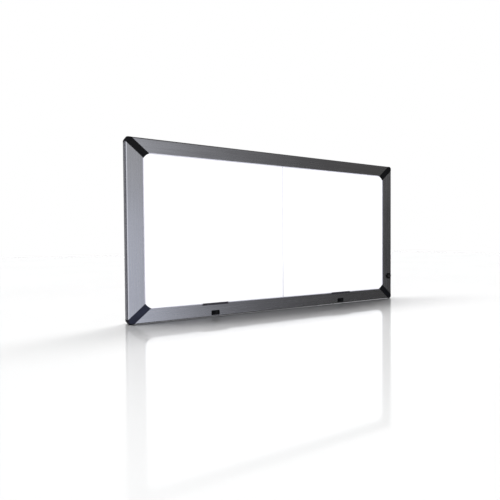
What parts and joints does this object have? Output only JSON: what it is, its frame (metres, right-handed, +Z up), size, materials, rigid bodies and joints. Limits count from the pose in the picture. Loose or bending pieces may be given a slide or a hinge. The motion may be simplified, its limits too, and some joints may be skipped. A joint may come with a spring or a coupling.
{
  "type": "led panel light",
  "caption": "Flat edge-lit LED viewing panel: mitred aluminium frame with black corners, two lit banks, film rests, rocker switches and a brightness dial.",
  "frame": {"origin": "middle of the flat underside that the panel stands on, midway through its depth", "axes": "+X along the width to the right as seen from the front, +Y from the lit face to the back, +Z up"},
  "size_m": [1, 0.0367, 0.51],
  "materials": {
    "frame_aluminium": "satin anodised, faint brushing along each rail",
    "corner_plastic": "moulded, fine grain",
    "diffuser_acrylic": "opal sheet, lit from behind",
    "guide_acrylic": "clear sheet",
    "reflector_film": "white film",
    "led_board": "white solder mask on a metal core",
    "led_chip": "phosphor over a white package",
    "inner_sheet": "mill finish",
    "back_sheet": "dark powder coat",
    "screw_steel": "zinc plated",
    "rest_plastic": "extruded, smooth",
    "switch_plastic": "moulded, polished",
    "terminal_brass": "stamped, tinned",
    "dial_plastic": "moulded, fine grain",
    "cap_plastic": "spun finish",
    "pot_metal": "plated",
    "lead_jacket": "insulation",
    "case_plastic": "moulded",
    "circuit_board": "solder mask",
    "component_body": "assorted"
  },
  "bodies": {
    "panel": {"back_panel": "back_sheet", "back_panel_screws": "screw_steel", "bank_divider": "reflector_film", "bottom_rail": "frame_aluminium", "corner_piece_bottom_left": "corner_plastic", "corner_piece_bottom_right": "corner_plastic", "corner_piece_top_left": "corner_plastic", "corner_piece_top_right": "corner_plastic", "corner_screws": "screw_steel", "diffuser_left": "diffuser_acrylic", "diffuser_right": "diffuser_acrylic", "dimmer_body": "pot_metal", "dimmer_lead": "lead_jacket", "dimmer_nut": "pot_metal", "driver_board": "circuit_board", "driver_case": "case_plastic", "driver_components": "component_body", "driver_cover": "case_plastic", "driver_screws": "screw_steel", "film_rest_left": "rest_plastic", "film_rest_right": "rest_plastic", "led_board_bottom_left": "led_board", "led_board_bottom_right": "led_board", "led_board_top_left": "led_board", "led_board_top_right": "led_board", "led_chips_bottom_left": "led_chip", "led_chips_bottom_right": "led_chip", "led_chips_top_left": "led_chip", "led_chips_top_right": "led_chip", "led_leads_left": "lead_jacket", "led_leads_right": "lead_jacket", "left_rail": "frame_aluminium", "light_guide_left": "guide_acrylic", "light_guide_right": "guide_acrylic", "power_inlet": "switch_plastic", "power_inlet_pin": "pot_metal", "power_lead": "lead_jacket", "reflector_left": "reflector_film", "reflector_right": "reflector_film", "right_rail": "frame_aluminium", "support_plate": "inner_sheet", "support_plate_screws": "screw_steel", "switch_housing_left": "switch_plastic", "switch_housing_right": "switch_plastic", "switch_lead_left": "lead_jacket", "switch_lead_right": "lead_jacket", "switch_terminals_left": "terminal_brass", "switch_terminals_right": "terminal_brass", "top_rail": "frame_aluminium"},
    "rocker_left": {"rocker_left": "switch_plastic"},
    "rocker_right": {"rocker_right": "switch_plastic"},
    "dial": {"dimmer_knob": "dial_plastic", "dimmer_shaft": "pot_metal", "knob_cap": "cap_plastic"}
  },
  "joints": [
    {"name": "rocker_left_tilt", "type": "hinge", "parent": "panel", "child": "rocker_left", "pos_m": [-0.243, -0.013, 0.012], "axis": [0, 0, 1], "range_deg": [0, 18]},
    {"name": "rocker_right_tilt", "type": "hinge", "parent": "panel", "child": "rocker_right", "pos_m": [0.243, -0.013, 0.012], "axis": [0, 0, 1], "range_deg": [0, 18]},
    {"name": "dial_turn", "type": "hinge", "parent": "panel", "child": "dial", "pos_m": [0.483, -0.016, 0.088], "axis": [0, -1, 0], "range_deg": [0, 280]}
  ]
}
